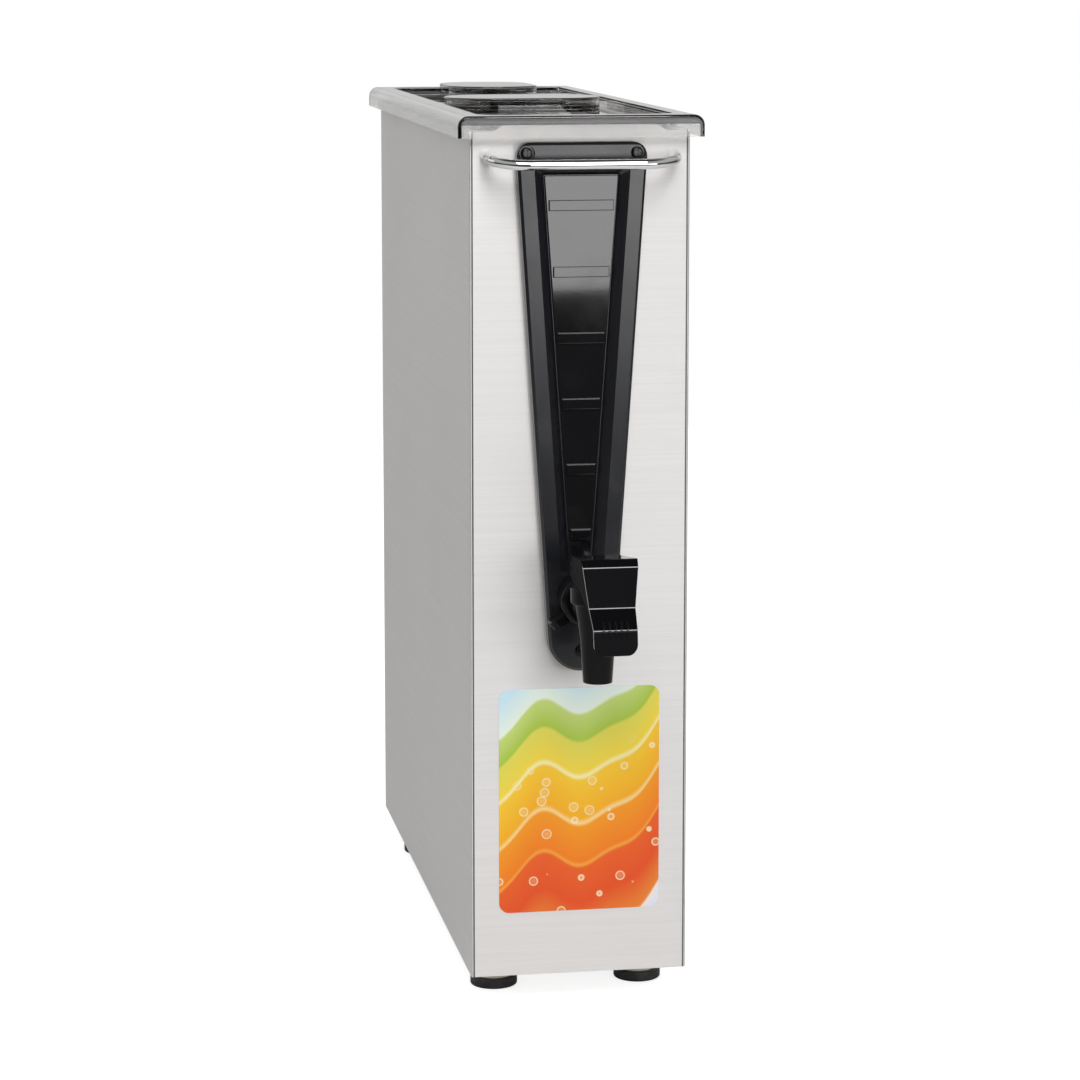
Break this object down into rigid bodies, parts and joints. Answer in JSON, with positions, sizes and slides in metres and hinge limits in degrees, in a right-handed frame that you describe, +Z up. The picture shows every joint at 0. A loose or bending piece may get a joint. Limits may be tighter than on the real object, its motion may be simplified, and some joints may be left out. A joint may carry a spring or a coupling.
{
  "type": "iced tea dispenser",
  "caption": "Narrow countertop iced tea dispenser: brushed steel casing, clear lid with covers, black V-shaped trim and a lift-lever faucet.",
  "frame": {"origin": "middle of the whole dispenser's footprint, on the surface it stands on", "axes": "+Z up, the faucet and label face -Y, +X is the viewer's right when facing the faucet"},
  "size_m": [0.1414, 0.5251, 0.5227],
  "materials": {
    "brushed_steel": "brushed along the width, satin",
    "tank_steel": "smooth satin stainless",
    "chrome": "polished",
    "black_plastic": "moulded, semi-gloss",
    "gloss_panel": "high gloss",
    "lever_plastic": "high gloss",
    "stem_plastic": "moulded",
    "clear_plastic": "clear, polished",
    "black_rubber": "moulded",
    "seal_rubber": "soft seal",
    "pale_plastic": "moulded, pale",
    "fastener_steel": "plain stainless",
    "black_screw": "black oxide",
    "spring_steel": "drawn wire",
    "pin_steel": "ground",
    "label_print": "printed, glossy"
  },
  "bodies": {
    "casing": {"base_pan": "brushed_steel", "faucet_body": "black_plastic", "faucet_bonnet": "black_plastic", "faucet_gasket": "seal_rubber", "faucet_wing_nut": "black_plastic", "foot_collars": "pale_plastic", "foot_nuts": "fastener_steel", "foot_pads": "black_rubber", "foot_screws": "fastener_steel", "front_panel": "brushed_steel", "front_trim": "black_plastic", "handle_bar": "chrome", "handle_bar_nuts": "fastener_steel", "handle_bar_washers": "fastener_steel", "label_plate": "label_print", "left_side_panel": "brushed_steel", "level_panel": "gloss_panel", "outlet_spud": "tank_steel", "pivot_pin": "pin_steel", "rear_panel": "brushed_steel", "rear_panel_screws": "fastener_steel", "reservoir": "tank_steel", "right_side_panel": "brushed_steel", "spud_gasket": "seal_rubber", "spud_nut": "fastener_steel", "trim_nuts": "fastener_steel", "trim_screws": "black_screw", "valve_spring": "spring_steel"},
    "lid": {"lid": "clear_plastic"},
    "front_cover": {"front_cover": "clear_plastic"},
    "rear_cover": {"rear_cover": "clear_plastic"},
    "lever": {"faucet_lever": "lever_plastic"},
    "valve": {"valve_stem": "stem_plastic", "seat_cup": "seal_rubber"}
  },
  "joints": [
    {"name": "lid_lift", "type": "slide", "parent": "casing", "child": "lid", "axis": [0, 0, 1], "range_m": [0, 0.06]},
    {"name": "front_cover_lift", "type": "slide", "parent": "lid", "child": "front_cover", "axis": [0, 0, 1], "range_m": [0, 0.04]},
    {"name": "rear_cover_lift", "type": "slide", "parent": "lid", "child": "rear_cover", "axis": [0, 0, 1], "range_m": [0, 0.04]},
    {"name": "lever_lift", "type": "hinge", "parent": "casing", "child": "lever", "pos_m": [0, -0.19562, 0.266], "axis": [-1, 0, 0], "range_deg": [0, 25], "stiffness_Nm_per_rad": 0.35, "springref_deg": -20.05},
    {"name": "valve_lift", "type": "slide", "parent": "casing", "child": "valve", "axis": [0, 0, 1], "range_m": [0, 0.0053], "deforming": ["valve_spring"]}
  ],
  "couplings": [
    {"joint": "valve_lift", "follows": "lever_lift", "m_per_rad": 0.012}
  ]
}
